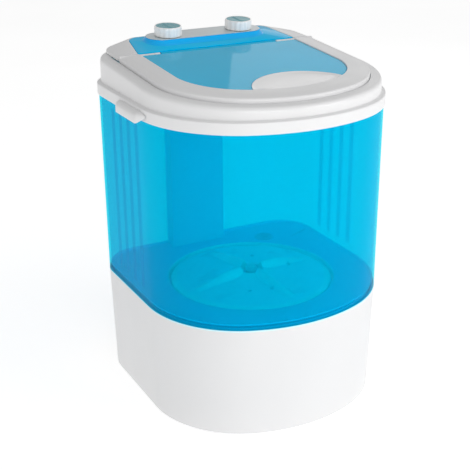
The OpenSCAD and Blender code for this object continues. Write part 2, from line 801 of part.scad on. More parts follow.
module hinge_bracket(side) {
    y1 = cheek_y + 0.9;
    color(white) sided(side) difference() {
        union() {
            for (x = [[96, leaf_x[0] - fit_gap], [leaf_x[1] + fit_gap, 127.5]]) {
                along_x(x[0], x[1], knuckle_r);
                box_between([x[0], hinge_y, hinge_z - 12], [x[1], y1, hinge_z - 1]);
            }
            box_between([96, y1 - 2.4, 480], [127.5, y1, hinge_z - 4.5]);
        }
        along_x(90, 130, pin_r + run_gap);
        for (z = [484, 491]) translate([112, y1 - 4, z]) rotate([-90, 0, 0]) cylinder(r = 1.6, h = 8);
    }
}

module hinge_pin(side) {
    color(steel) sided(side) along_x(pin_x[0], pin_x[1], pin_r);
}

// Leaf under the window's back edge, with a knuckle that turns on the pin.
// Beside it, a barrel round the same axis closes the back end of the lid's frame.
leaf_y = [68, 88];
leaf_screw_y = [73, 82];

module hinge_leaf(side) {
    barrel_x = [half_w - window_inset + 2, half_w - lid_inset - 0.6];
    color(white) sided(side) {
        along_x(barrel_x[0], barrel_x[1], barrel_r);
        box_between([barrel_x[0] + 2, lid_y + 0.1, hinge_z - 2], [barrel_x[1] - 3, hinge_y, hinge_z + 3]);
    }
    color(white) sided(side) difference() {
        union() {
            along_x(leaf_x[0], leaf_x[1], knuckle_r - 0.1);
            box_between([leaf_x[0], hinge_y - 9.5, hinge_z - 5.8], [leaf_x[1], hinge_y - 0.5, hinge_z - 2.2]);
            deck_sheet(-5.6, 2.6) translate([leaf_x[0], leaf_y[0]])
                square([leaf_x[1] - leaf_x[0], leaf_y[1] - leaf_y[0]]);
        }
        along_x(90, 130, pin_r + run_gap);
        deck_sheet(-4, 6) for (y = leaf_screw_y) translate([112, y]) circle(1.7);
    }
}

module lid_screws() {
    color(steel) deck_frame() for (x = [-112, 112]) for (y = leaf_screw_y)
        translate([x, y, -8.3]) mirror([0, 0, 1]) screw(2.8, 1.6, 1.4, 4.4);
}

// ---- Lid ----

// The lid's back edge is a barrel round the hinge axis, so it turns beside the console
lid_y = hinge_y - 4.6;
barrel_r = 4.2;

module lid_frame() {
    g = rebate_z;
    w = deck_z;
    e = window_inset;
    section = [
        [lid_inset, g - 2.4, 1], [lid_inset, g + 3.6, 1], [lid_inset + 0.8, g + 5, 1], [lid_inset + 3, g + 6.2, 1],
        [lid_inset + 14, w - 0.3, 1], [e - 1.6, w + 0.2, 1], [e - 0.5, w - 0.2, 1], [e, w - 1.2, 1],
        [e, w - 2.9, 1], [e - 8, w - 2.9, 1], [lid_inset + 14, w - 3.2, 1], [lid_inset + 3.6, g + 3.4, 1],
        [lid_inset + 2.6, g - 2.4, 1]
    ];
    color(white) swept(section_rings(section, function (i) front_path(i, lid_y)), false);
}

// The deck's own frame: z = 0 on top of the lid's frame, with y still counted from the origin
module deck_frame() {
    translate([0, front_y, deck_z]) rotate([deck_angle, 0, 0]) translate([0, -front_y, 0]) children();
}

// Sheet parallel to the deck, its top at height z in the deck's frame
module deck_sheet(z, t) {
    deck_frame() translate([0, 0, z - t]) linear_extrude(t) children();
}

grip_centre = [17, -133];

module grip_circle(r) {
    translate(grip_centre) circle(r, $fn = 120);
}

module lid_window() {
    rail = 94;
    color(blue) difference() {
        union() {
            deck_sheet(-3, 2.5) difference() {
                polygon(front_path(window_inset - 6, lid_y));
                grip_circle(grip_r + 0.2);
            }
            deck_sheet(-1.4, 1.7) difference() {
                polygon(front_path(window_inset + 0.5, lid_y));
                grip_circle(grip_r + 1.9);
            }
            along_x(-rail, rail, knuckle_r - 0.2);
            box_between([-rail, lid_y - 1, hinge_z - 1.4], [rail, hinge_y, hinge_z + 0.8]);
        }
        deck_sheet(-3.6, 3) for (x = [-112, 112]) for (y = leaf_screw_y) translate([x, y]) circle(1.7);
    }
}

module finger_grip() {
    color(white) deck_sheet(-1.2, 1.7) intersection() {
        polygon(front_path(window_inset + 0.2, lid_y));
        grip_circle(grip_r + 1.5);
    }
}

// ---- Nodes ----

base_housing();
base_plate();
foot(0);  // foot_front_left
foot(1);  // foot_front_right
foot(2);  // foot_rear_left
foot(3);  // foot_rear_right
foot_screws();
service_panel();
drain_spigot();
cord_gland();
tub();
drain_strainer();
bearing_housing();
bearing(dish_z - 13.9);  // upper_bearing
bearing(59.9);  // lower_bearing
shaft_seal();
bearing_screws();
motor_bracket();
motor_stator();
motor_grommets();
motor_bolts();
drive_belt();
capacitor();
rear_duct();
wiring_harness();
top_collar();
rear_cover();
side_grip(-1);  // side_grip_left
side_grip(1);  // side_grip_right
console_cover();
console_tray();
control_panel();
panel_plate();
timer_body(-1);  // wash_timer
timer_body(1);  // spin_timer
console_screws();
hinge_bracket(-1);  // hinge_bracket_left
hinge_bracket(1);  // hinge_bracket_right
hinge_pin(-1);  // hinge_pin_left
hinge_pin(1);  // hinge_pin_right
lid_frame();
lid_window();
finger_grip();
hinge_leaf(-1);  // hinge_leaf_left
hinge_leaf(1);  // hinge_leaf_right
lid_screws();
pulsator();
pulsator_screw();
pulsator_shaft();
driven_pulley();
pulley_nut();
motor_rotor();
motor_pulley();
knob(-1);  // wash_knob
knob_insert(-1);  // wash_knob_insert
timer_shaft(-1);  // wash_timer_shaft
knob(1);  // spin_knob
knob_insert(1);  // spin_knob_insert
timer_shaft(1);  // spin_timer_shaft
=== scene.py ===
# Looks of a small top load washing machine: a translucent blue tub between a white base and a
# white collar, a hinged lid with a clear window, and a blue console with two knobs.
import math
import bmesh
import bpy
from mathutils import Matrix, Vector


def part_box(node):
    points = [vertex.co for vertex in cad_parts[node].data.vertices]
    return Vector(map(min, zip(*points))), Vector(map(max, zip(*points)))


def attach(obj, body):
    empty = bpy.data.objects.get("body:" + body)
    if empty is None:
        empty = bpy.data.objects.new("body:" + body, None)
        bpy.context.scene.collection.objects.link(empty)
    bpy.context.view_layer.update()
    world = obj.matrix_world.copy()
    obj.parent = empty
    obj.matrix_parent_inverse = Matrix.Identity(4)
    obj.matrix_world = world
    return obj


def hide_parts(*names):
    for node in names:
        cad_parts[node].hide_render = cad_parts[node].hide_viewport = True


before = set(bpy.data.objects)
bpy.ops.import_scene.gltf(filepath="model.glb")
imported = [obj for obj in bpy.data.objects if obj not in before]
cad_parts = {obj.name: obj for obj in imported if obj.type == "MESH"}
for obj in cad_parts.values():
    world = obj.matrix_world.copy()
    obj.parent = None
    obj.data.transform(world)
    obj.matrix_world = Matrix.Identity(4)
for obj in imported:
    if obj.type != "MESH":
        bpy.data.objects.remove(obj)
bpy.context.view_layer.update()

MM = 0.001


def low(node):
    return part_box(node)[0] / MM


def high(node):
    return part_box(node)[1] / MM


# ---- Driving sizes, in millimetres ----

HALF_W = 180.0
FRONT_Y = -178.0
BACK_Y = 178.0
CORNER_R = 60.0
SHOULDER_R = 149.0
NOSE_R = 231.0
WALL = 3.0
FOOT_Z = 4.0
TUB_Z = high("base_housing").z
COLLAR_Z = low("top_collar").z
REBATE_Z = 477.5
DECK_Z = 485.5
RISE = 0.064
LID_INSET = 21.4
WINDOW_INSET = 53.4
HINGE_Y = 97.0
HINGE_Z = 499.0
CHEEK_Y = low("console_cover").y
LID_Y = high("lid_frame").y
LID_END_Y = LID_Y + 2.6
CONSOLE_BACK = 177.0
BACK_GAP = 110.0
BASE_FOOT_INSET = 7.7
BASE_TOP_INSET = 2.6
KNOB_X = 58.8
KNOB_Y = 150.5
KNOB_R = 20.8
KNOB_H = 14.2
BOSS_H = 7.5
BOSS_HALF = 71.0
BOSS_R = 23.3
PANEL_HALF = 127.8
PANEL_BACK = 174.4
PANEL_R = 15.0
PANEL_RISE = 0.11
PANEL_TAPER = 0.0015
TUB_TOP_INSET = 0.6
FLOOR_Z = TUB_Z + 6
PULSATOR_R = 120.0
HUB_R = 18.0
FINS = 4
# The finger grip's circle, as x, y and radius
GRIP = (17.0, -133.0, 76.0)
DECK_ANGLE = math.atan(RISE)
BOSS_Z = DECK_Z + RISE * (KNOB_Y - FRONT_Y) + BOSS_H

NOSE_Y = FRONT_Y + NOSE_R
FILLET_X = HALF_W - SHOULDER_R
FILLET_Y = NOSE_Y - math.sqrt((NOSE_R - SHOULDER_R) ** 2 - FILLET_X ** 2)
FILLET_END = math.degrees(math.atan2(FILLET_Y - NOSE_Y, FILLET_X))


# ---- Outlines seen from above ----

def arc(cx, cy, r, start, end, steps):
    points = []
    for i in range(steps + 1):
        t = math.radians(start + (end - start) * i / steps)
        points.append((cx + r * math.cos(t), cy + r * math.sin(t)))
    return points


def line(a, b, steps):
    return [(a[0] + (b[0] - a[0]) * i / steps, a[1] + (b[1] - a[1]) * i / steps) for i in range(steps)]


def mirrored(points):
    return [(-x, y) for x, y in reversed(points)]


def front_path(inset, cut):
    """The front of the body, from the right side at y = cut round the nose to the left side."""
    side = line((HALF_W - inset, cut), (HALF_W - inset, FILLET_Y), 48)
    fillet = arc(FILLET_X, FILLET_Y, SHOULDER_R - inset, 0, FILLET_END, 36)[:-1]
    nose = arc(0, NOSE_Y, NOSE_R - inset, FILLET_END, -90, 40)
    right = side + fillet + nose
    return right[:-1] + mirrored(right)


def rear_path(half, back, r, cut):
    """A back with straight sides at x = half and corners of radius r, from left to right."""
    left = [(-half, cut)] + arc(-half + r, back - r, r, 180, 90, 20)
    return left + mirrored(left)


def loop_path(inset):
    """The whole outline of the body, as one closed loop."""
    cut = BACK_Y - CORNER_R - 2
    rear = rear_path(HALF_W - inset, BACK_Y - inset, max(CORNER_R - inset, 6), cut)
    back = line(rear[21], rear[22], 30)[1:]
    return front_path(inset, cut) + rear[1:22] + back + rear[22:-1]


def open_path(inset, gap):
    """The outline with a gap in the middle of the back, from x = gap round to x = -gap."""
    cut = BACK_Y - CORNER_R - 2
    r = CORNER_R
    corner = arc(HALF_W - r, BACK_Y - r, r - inset, 90, 0, 20)[:-1]
    right = [(gap, BACK_Y - inset)] + corner
    return right + front_path(inset, cut) + mirrored(right)


def stadium(half, r, steps=28):
    """Two half circles of radius r, with centres at x = half and -half."""
    return arc(half, 0, r, -90, 90, steps) + arc(-half, 0, r, 90, 270, steps)


def circle(r, z, steps):
    """A ring of points round the z axis."""
    turns = [2 * math.pi * i / steps for i in range(steps)]
    return [(r * math.cos(t), r * math.sin(t), z) for t in turns]


def deck(z, y):
    """Height at y of a level that rises with the deck from z at the front."""
    return z + RISE * (y - FRONT_Y)


# ---- Sections: corners of (inset, z, radius), and optionally whether they rise with the deck ----

def rounded(corners, steps=5):
    """The section with each corner rounded, as (inset, z, tilt)."""
    out = []
    n = len(corners)
    for i, corner in enumerate(corners):
        x, z, r = corner[:3]
        tilt = corner[3] if len(corner) > 3 else 0
        here = Vector((x, z))
        before = Vector(corners[i - 1][:2]) - here
        after = Vector(corners[(i + 1) % n][:2]) - here
        turn = math.pi - before.angle(after)
        if r <= 0 or turn < 0.02:
            out.append((x, z, tilt))
            continue
        reach = min(r * math.tan(turn / 2), before.length * 0.49, after.length * 0.49)
        a = here + before.normalized() * reach
        b = here + after.normalized() * reach
        for k in range(steps + 1):
            t = k / steps
            p = a * (1 - t) ** 2 + here * (2 * t * (1 - t)) + b * t * t
            out.append((p.x, p.y, tilt))
    return out


def rings_of(section, path):
    """Rings for the points of a section: inset, height, and whether it rises with the deck."""
    rings = []
    for inset, z, tilt in section:
        rings.append([(x, y, deck(z, y) if tilt else z) for x, y in path(inset)])
    return rings


# ---- Meshes ----

def piece(name, verts, faces, material, body, nodes=(), slot=None, sharp=38, place=None):
    """A piece of the visible model, from points in millimetres."""
    mesh = bpy.data.meshes.new(name)
    mesh.from_pydata([Vector(v) * MM for v in verts], [], faces)
    bm = bmesh.new()
    bm.from_mesh(mesh)
    bmesh.ops.remove_doubles(bm, verts=bm.verts, dist=1e-7)
    bmesh.ops.recalc_face_normals(bm, faces=bm.faces)
    mark_edges(bm, sharp)
    bm.to_mesh(mesh)
    bm.free()
    obj = bpy.data.objects.new(name, mesh)
    bpy.context.scene.collection.objects.link(obj)
    obj.data.materials.append(material)
    if place is not None:
        obj.data.transform(place)
    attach(obj, body)
    if nodes:
        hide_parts(*nodes)
    return obj


def mark_edges(bm, sharp):
    """Smooth faces, with sharp edges where the surface turns more than sharp degrees."""
    for face in bm.faces:
        face.smooth = True
    for edge in bm.edges:
        edge.smooth = len(edge.link_faces) == 2 and edge.calc_face_angle(0) < math.radians(sharp)


def skin(rings, closed_section=True, closed_path=True):
    """Verts and faces over rings of points. An open path gets end caps."""
    m = len(rings)
    n = len(rings[0])
    verts = [p for ring in rings for p in ring]
    faces = []
    for j in range(m if closed_section else m - 1):
        k = (j + 1) % m
        for i in range(n if closed_path else n - 1):
            h = (i + 1) % n
            faces.append((j * n + i, k * n + i, k * n + h, j * n + h))
    if not closed_path and closed_section:
        faces.append([j * n for j in range(m)])
        faces.append([j * n + n - 1 for j in reversed(range(m))])
    return verts, faces


def capped(rings):
    """Verts and faces over closed rings, with a cap on the first and the last."""
    verts, faces = skin(rings, closed_section=False)
    n = len(rings[0])
    faces.append(list(range(n)))
    faces.append([(len(rings) - 1) * n + i for i in range(n)])
    return verts, faces


def joined(parts):
    """The verts and faces of several parts, as one."""
    verts = []
    faces = []
    for part_verts, part_faces in parts:
        start = len(verts)
        verts += part_verts
        faces += [[start + i for i in face] for face in part_faces]
    return verts, faces


def drawn_in(outline, centre, levels):
    """Rings of an outline drawn in towards a centre, one for each (shrink, z)."""
    rings = []
    for shrink, z in levels:
        ring = []
        for x, y in outline:
            v = Vector((x, y)) - centre
            p = centre + v * (1 - shrink / v.length)
            ring.append((p.x, p.y, z))
        rings.append(ring)
    return rings


def paint(obj, materials, choice):
    """Adds materials to a piece, and gives each face the one that choice(its middle) names."""
    for material in materials:
        obj.data.materials.append(material)
    for face in obj.data.polygons:
        face.material_index = choice(face.center / MM)


def boolean_cut(obj, bm):
    """Cuts a closed shape out of a piece, and frees the shape."""
    mesh = bpy.data.meshes.new("cutter")
    bm.to_mesh(mesh)
    bm.free()
    cutter = bpy.data.objects.new("cutter", mesh)
    bpy.context.scene.collection.objects.link(cutter)
    mod = obj.modifiers.new("cut", "BOOLEAN")
    mod.operation = "DIFFERENCE"
    mod.solver = "EXACT"
    mod.object = cutter
    bpy.context.view_layer.update()
    cut = bpy.data.meshes.new_from_object(obj.evaluated_get(bpy.context.evaluated_depsgraph_get()))
    obj.modifiers.remove(mod)
    obj.data = cut
    bpy.data.objects.remove(cutter)
    bm = bmesh.new()
    bm.from_mesh(obj.data)
    mark_edges(bm, 38)
    bm.to_mesh(obj.data)
    bm.free()


def cut_box(obj, lo, hi):
    """Cuts a box out of a piece, with its corners in millimetres."""
    bm = bmesh.new()
    bmesh.ops.create_cube(bm, size=1.0)
    size = Vector(hi) - Vector(lo)
    middle = (Vector(hi) + Vector(lo)) / 2
    bm.transform(Matrix.Translation(middle * MM) @ Matrix.Diagonal((*(size * MM), 1)))
    boolean_cut(obj, bm)


def deck_place():
    """Placement of the deck's own frame: z = 0 on top of the lid's ring, y counted from the front."""
    return Matrix.Translation(Vector((0, FRONT_Y, DECK_Z)) * MM) @ Matrix.Rotation(DECK_ANGLE, 4, "X")


def console_place():
    """Placement of the console's own frame: z = 0 on top of the boss, midway between the knobs."""
    return Matrix.Translation(Vector((0, KNOB_Y, BOSS_Z)) * MM) @ Matrix.Rotation(DECK_ANGLE, 4, "X")


# ---- Materials ----

class Nodes:
    """Short names for building a material's nodes."""

    def __init__(self, name):
        self.material = bpy.data.materials.new(name)
        self.material.use_nodes = True
        self.tree = self.material.node_tree
        self.bsdf = self.tree.nodes["Principled BSDF"]
        self.out = self.tree.nodes["Material Output"]
        self.coords = self.add("ShaderNodeTexCoord").outputs["Object"]

    def add(self, kind, **values):
        node = self.tree.nodes.new(kind)
        for key, value in values.items():
            setattr(node, key, value)
        return node

    def link(self, a, b):
        self.tree.links.new(a, b)

    def noise(self, scale, detail=3.0, rough=0.5, stretch=(1, 1, 1)):
        mapping = self.add("ShaderNodeMapping")
        mapping.inputs["Scale"].default_value = stretch
        self.link(self.coords, mapping.inputs["Vector"])
        node = self.add("ShaderNodeTexNoise")
        node.inputs["Scale"].default_value = scale
        node.inputs["Detail"].default_value = detail
        node.inputs["Roughness"].default_value = rough
        self.link(mapping.outputs["Vector"], node.inputs["Vector"])
        return node.outputs["Fac"]

    def ranged(self, fac, lo, hi, start=0.3, end=0.7):
        node = self.add("ShaderNodeMapRange")
        node.inputs["From Min"].default_value = start
        node.inputs["From Max"].default_value = end
        node.inputs["To Min"].default_value = lo
        node.inputs["To Max"].default_value = hi
        self.link(fac, node.inputs["Value"])
        return node.outputs["Result"]

    def colours(self, fac, a, b, start=0.3, end=0.7):
        node = self.add("ShaderNodeValToRGB")
        node.color_ramp.elements[0].position = start
        node.color_ramp.elements[0].color = (*a, 1)
        node.color_ramp.elements[1].position = end
        node.color_ramp.elements[1].color = (*b, 1)
        self.link(fac, node.inputs["Fac"])
        return node.outputs["Color"]

    def bump(self, height, strength, distance):
        node = self.add("ShaderNodeBump")
        node.inputs["Strength"].default_value = strength
        node.inputs["Distance"].default_value = distance
        self.link(height, node.inputs["Height"])
        self.link(node.outputs["Normal"], self.bsdf.inputs["Normal"])


def scaled(colour, k):
    """A colour made k times as bright."""
    return tuple(min(1.0, c * k) for c in colour)


def plastic(name, colour, rough=(0.28, 0.38), vary=0.03, grain=900.0, depth=0.15, coat=0.0, gloss=0.5):
    """Moulded plastic: faint flow marks in the colour, uneven gloss and a fine mould grain."""
    n = Nodes(name)
    flow = n.noise(9.0, 4.0, 0.55, (1, 1, 0.6))
    n.link(n.colours(flow, scaled(colour, 1 - vary), colour), n.bsdf.inputs["Base Color"])
    n.link(n.ranged(n.noise(28.0, 5.0, 0.6), *rough), n.bsdf.inputs["Roughness"])
    n.bump(n.noise(grain, 2.0, 0.5), depth, 0.0002)
    n.bsdf.inputs["Coat Weight"].default_value = coat
    n.bsdf.inputs["Coat Roughness"].default_value = 0.08
    n.bsdf.inputs["Specular IOR Level"].default_value = gloss
    return n.material


def metal(name, colour, rough=(0.25, 0.4), stretch=(1, 1, 1), grain=700.0):
    """Metal with fine turning or rolling marks."""
    n = Nodes(name)
    marks = n.noise(grain, 3.0, 0.6, stretch)
    n.link(n.colours(marks, scaled(colour, 0.86), colour), n.bsdf.inputs["Base Color"])
    n.link(n.ranged(marks, *rough), n.bsdf.inputs["Roughness"])
    n.bump(marks, 0.12, 0.0002)
    n.bsdf.inputs["Metallic"].default_value = 1.0
    return n.material


def rubber(name, colour):
    """Matt rubber with a fine grain."""
    n = Nodes(name)
    n.link(n.colours(n.noise(40.0, 5.0, 0.6), scaled(colour, 0.75), colour), n.bsdf.inputs["Base Color"])
    n.link(n.ranged(n.noise(120.0, 4.0, 0.6), 0.62, 0.8), n.bsdf.inputs["Roughness"])
    n.bump(n.noise(1400.0, 2.0, 0.5), 0.3, 0.0003)
    return n.material


def clear_blue(name, tint, body, solid, gloss, rough=(0.05, 0.09)):
    """Translucent plastic: a tinted pane mixed with a solid, glossy part."""
    n = Nodes(name)
    flow = n.noise(7.0, 3.0, 0.5, (1, 1, 0.35))
    n.link(n.colours(flow, scaled(body, 0.94), body), n.bsdf.inputs["Base Color"])
    n.link(n.ranged(n.noise(22.0, 4.0, 0.6), *rough), n.bsdf.inputs["Roughness"])
    n.bump(n.noise(45.0, 2.0, 0.5), 0.05, 0.0006)
    n.bsdf.inputs["Specular IOR Level"].default_value = gloss
    pane = n.add("ShaderNodeBsdfTransparent")
    pane.inputs["Color"].default_value = (*tint, 1)
    mix = n.add("ShaderNodeMixShader")
    mix.inputs["Fac"].default_value = solid
    n.link(pane.outputs["BSDF"], mix.inputs[1])
    n.link(n.bsdf.outputs["BSDF"], mix.inputs[2])
    n.link(mix.outputs["Shader"], n.out.inputs["Surface"])
    return n.material


WHITE = plastic("white_plastic", (0.77, 0.77, 0.775), coat=0.1)
TRIM = plastic("white_trim", (0.82, 0.82, 0.825), rough=(0.2, 0.28), coat=0.3)
INNER = plastic("inner_white", (0.72, 0.73, 0.74), rough=(0.4, 0.55), depth=0.3)
TUB_BLUE = clear_blue("tub_blue", (0.02, 0.93, 0.985), (0.0, 0.58, 0.90), 0.28, 0.06)
RIB_BLUE = clear_blue("rib_blue", (0.10, 0.90, 0.985), (0.0, 0.55, 0.94), 0.25, 0.06)
# Denser, deeper blue for the tub's floor: painted shade, as the floor is lit only through the tinted walls
FLOOR_SHADE_BLUE = clear_blue("floor_painted_shade", (0.02, 0.80, 1.0), (0.0, 0.56, 1.0), 0.9, 0.1)
DUCT_BLUE = clear_blue("duct_blue", (0.04, 0.75, 1.0), (0.0, 0.74, 1.0), 0.92, 0.1)
WINDOW_BLUE = clear_blue("window_blue", (0.10, 0.92, 1.0), (0.0, 0.66, 0.98), 0.7, 0.22, (0.03, 0.06))
PANEL_BLUE = plastic("panel_blue", (0.0, 0.48, 1.0), rough=(0.12, 0.2), vary=0.06, depth=0.05, gloss=0.25)
SHEET_BLUE = plastic("sheet_blue", (0.0, 0.56, 0.95), rough=(0.04, 0.08), vary=0.08, depth=0.02, gloss=0.08)
PLATE = metal("plate_silver", (0.74, 0.79, 0.81), rough=(0.38, 0.5), stretch=(0.05, 1, 1), grain=1500.0)
INSERT = plastic("insert_teal", (0.10, 0.38, 0.44), rough=(0.2, 0.3), vary=0.12)
PALE = plastic("pulsator_pale", (0.50, 0.84, 0.92), rough=(0.25, 0.35), gloss=0.7)
# Pale cyan for the tub's bead and the dish's edge: a painted highlight where these rims catch the light
HIGHLIGHT_BLUE = plastic("painted_highlight_blue", (0.66, 0.95, 1.0), rough=(0.15, 0.25), gloss=0.5)
# Near-white blue for the pulsator's rim, fins and hub: a painted highlight where they catch the light
PULSATOR_HIGHLIGHT = plastic("pulsator_painted_highlight", (0.90, 1.0, 0.98), rough=(0.2, 0.3), gloss=0.8)
# A brighter, glossier copy of the white trim for the knob caps: the gloss is the knobs' own, the extra
# brightness is painted light for their weakly lit front-left faces
KNOB_WHITE_LIT = plastic("knob_painted_light", (0.93, 0.93, 0.93), rough=(0.12, 0.2), coat=0.4)
DARK = plastic("dark_plastic", (0.018, 0.018, 0.02), rough=(0.4, 0.55), vary=0.2, depth=0.3)
PULLEY = plastic("pulley_grey", (0.06, 0.06, 0.065), rough=(0.45, 0.6), vary=0.2, depth=0.3)
RUBBER = rubber("black_rubber", (0.02, 0.02, 0.021))
WIRE = rubber("wire_sleeve", (0.03, 0.03, 0.034))
STEEL = metal("bright_steel", (0.55, 0.56, 0.58))
MOTOR = metal("motor_steel", (0.42, 0.43, 0.45), rough=(0.35, 0.55), stretch=(1, 1, 12), grain=300.0)

# CAD pieces that stay as they are, by material
KEPT = {
    INNER: ["base_plate", "service_panel", "console_tray", "capacitor"],
    TRIM: ["hinge_bracket_left", "hinge_bracket_right"],
    RUBBER: ["foot_front_left", "foot_front_right", "foot_rear_left", "foot_rear_right", "shaft_seal",
             "motor_grommets", "drive_belt"],
    STEEL: ["foot_screws", "bearing_screws", "motor_bolts", "console_screws", "hinge_pin_left",
            "hinge_pin_right", "lid_screws", "pulsator_screw", "pulsator_shaft", "pulley_nut",
            "wash_timer_shaft", "spin_timer_shaft", "upper_bearing", "lower_bearing", "motor_rotor"],
    MOTOR: ["motor_bracket", "motor_stator"],
    DARK: ["drain_spigot", "cord_gland", "bearing_housing", "wash_timer", "spin_timer"],
    WHITE: ["rear_cover", "hinge_leaf_left", "hinge_leaf_right"],
    PULLEY: ["driven_pulley", "motor_pulley"],
    WIRE: ["wiring_harness"],
    DUCT_BLUE: ["rear_duct"],
    TUB_BLUE: ["drain_strainer"],
}
SOFT_EDGED = {"base_plate", "service_panel", "drain_spigot", "cord_gland", "rear_cover", "rear_duct",
              "hinge_bracket_left", "hinge_bracket_right", "hinge_leaf_left", "hinge_leaf_right",
              "drain_strainer", "console_tray"}


def dress(node, material):
    """Gives a CAD piece its material, and soft edges where they can be seen."""
    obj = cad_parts[node]
    obj.data.materials.clear()
    obj.data.materials.append(material)
    if node in SOFT_EDGED:
        bevel = obj.modifiers.new("soft_edges", "BEVEL")
        bevel.width = 0.0004
        bevel.segments = 2
        bevel.limit_method = "ANGLE"
        bevel.angle_limit = math.radians(50)


for material, names in KEPT.items():
    for node in names:
        dress(node, material)


# ---- Base and tub ----

def base_inset(z):
    """Inset of the base's outer face, which leans out towards the top."""
    return BASE_FOOT_INSET + (BASE_TOP_INSET - BASE_FOOT_INSET) * (z - FOOT_Z) / (TUB_Z - FOOT_Z)


# Opening in the base round the service panel, with a small gap
BAY_GAP = 0.5
BAY_FRONT_Y = 142.0
BAY_LOW = (low("service_panel").x - BAY_GAP, BAY_FRONT_Y, low("service_panel").z - BAY_GAP)
BAY_HIGH = (high("service_panel").x + BAY_GAP, BACK_Y + 5, high("service_panel").z + BAY_GAP)


def build_base():
    """White shell, open on top and round the service panel."""
    z0 = FOOT_Z
    section = rounded([
        (13.5, z0, 0.5), (base_inset(z0), z0, 2.5), (base_inset(40), 40, 0), (base_inset(110), 110, 0),
        (BASE_TOP_INSET, TUB_Z, 1.2), (BASE_TOP_INSET + WALL, TUB_Z, 0.3),
        (base_inset(8) + WALL, 8, 0), (13.5, 8, 0.5)
    ])
    base = piece("base_shell", *skin(rings_of(section, loop_path)), WHITE, "cabinet",
                 ["base_housing"], "white_shell")
    cut_box(base, BAY_LOW, BAY_HIGH)


# Vertical washboard ribs on both side walls, as places from front to back
SIDE_RIBS = (2, 30, 58, 86)
RIB_HALF = 4.5
RIB_DEPTH = 2.2


def tub_inset(z):
    """Inset of the tub's outer face, which leans out towards the top."""
    return BASE_TOP_INSET + (TUB_TOP_INSET - BASE_TOP_INSET) * (z - TUB_Z) / (COLLAR_Z - TUB_Z)


def build_ribs(side, word):
    """Rounded bars up the inside of a side wall, a little denser than the wall."""
    z0 = TUB_Z + 22
    z1 = COLLAR_Z - 12
    steps = 12
    levels = [(z0, 0.1), (z0 + 4, 0.8), (z0 + 12, 1.0), ((z0 + z1) / 2, 1.0), (z1 - 12, 1.0), (z1 - 4, 0.8),
              (z1, 0.1)]
    bars = []
    for y in SIDE_RIBS:
        rings = []
        for z, full in levels:
            wall = HALF_W - tub_inset(z) - WALL - 0.05
            turns = [math.pi * k / steps for k in range(steps + 1)]
            rings.append([(side * (wall - RIB_DEPTH * full * math.sin(a)), y - RIB_HALF * math.cos(a), z)
                          for a in turns])
        bars.append(capped(rings))
    piece(f"tub_ribs_{word}", *joined(bars), RIB_BLUE, "cabinet", slot="blue_tub")


def tub_rings():
    """Sections of the tub: wall, neck, floor with a round dish for the pulsator, and skirt."""
    top = high("tub").z
    dish_z = low("tub").z
    dish_r = PULSATOR_R + 4
    hole_r = HUB_R + 2
    wall = rounded([
        (6.2, dish_z, 0.3), (6.2, TUB_Z, 0), (BASE_TOP_INSET, TUB_Z, 0.9), (TUB_TOP_INSET, COLLAR_Z - 0.3, 0),
        (2, COLLAR_Z - 0.3, 0), (2, top, 0.5), (2 + WALL, top, 0.5)
    ])
    wall += [(2 + WALL, top - 1, 0), (2 + WALL, COLLAR_Z + 2, 0), (TUB_TOP_INSET + WALL, COLLAR_Z - 4, 0)]
    fillet = rounded([
        (BASE_TOP_INSET + WALL, TUB_Z + 14, 0), (BASE_TOP_INSET + WALL, FLOOR_Z, 7), (14, FLOOR_Z, 0)
    ])
    dish = [
        (dish_r + 1, FLOOR_Z), (dish_r + 0.2, FLOOR_Z - 0.5), (dish_r, dish_z + 4), (dish_r - 1, dish_z + 3),
        (hole_r, dish_z + 3), (hole_r, dish_z), (dish_r + 2, dish_z), (dish_r + 3, dish_z + 0.8),
        (dish_r + 3, TUB_Z + 3)
    ]
    skirt = [(9.2, TUB_Z + 3, 0), (9.2, dish_z, 0)]
    # The dish has as many points as the outline, on the same bearings
    bearings = [math.atan2(y, x) for x, y in loop_path(60)]
    round_rings = [[(r * math.cos(t), r * math.sin(t), z) for t in bearings] for r, z in dish]
    return rings_of(wall + fillet[1:], loop_path) + round_rings + rings_of(skirt, loop_path)


def tub_material(spot):
    """0 for the wall, 1 for the floor, made denser and deeper blue as painted shade, and 2 for the dish's
    edge, a painted highlight.
    """
    if spot.z > TUB_Z + 13:
        return 0
    return 2 if PULSATOR_R + 2 < math.hypot(spot.x, spot.y) < PULSATOR_R + 5.4 else 1


def build_tub():
    """Translucent tub, with a bead round its foot; the bead and the dish's edge are painted pale cyan as a
    highlight.
    """
    tub = piece("tub_shell", *skin(tub_rings()), TUB_BLUE, "cabinet", ["tub"], "blue_tub", sharp=42)
    # The floor takes the painted shade blue, the dish's edge the painted highlight
    paint(tub, [FLOOR_SHADE_BLUE, HIGHLIGHT_BLUE], tub_material)
    outside = BASE_TOP_INSET - 0.3
    inside = BASE_TOP_INSET + 1.4
    # The bead is painted pale cyan as a highlight along the base's rim
    bead = rounded([
        (outside, TUB_Z - 0.6, 0.3), (outside, TUB_Z + 1.5, 0.8), (inside, TUB_Z + 1.5, 0),
        (inside, TUB_Z - 0.6, 0)
    ])
    piece("tub_bead", *skin(rings_of(bead, loop_path)), HIGHLIGHT_BLUE, "cabinet", slot="blue_tub")


# ---- Collar, lid and console ----

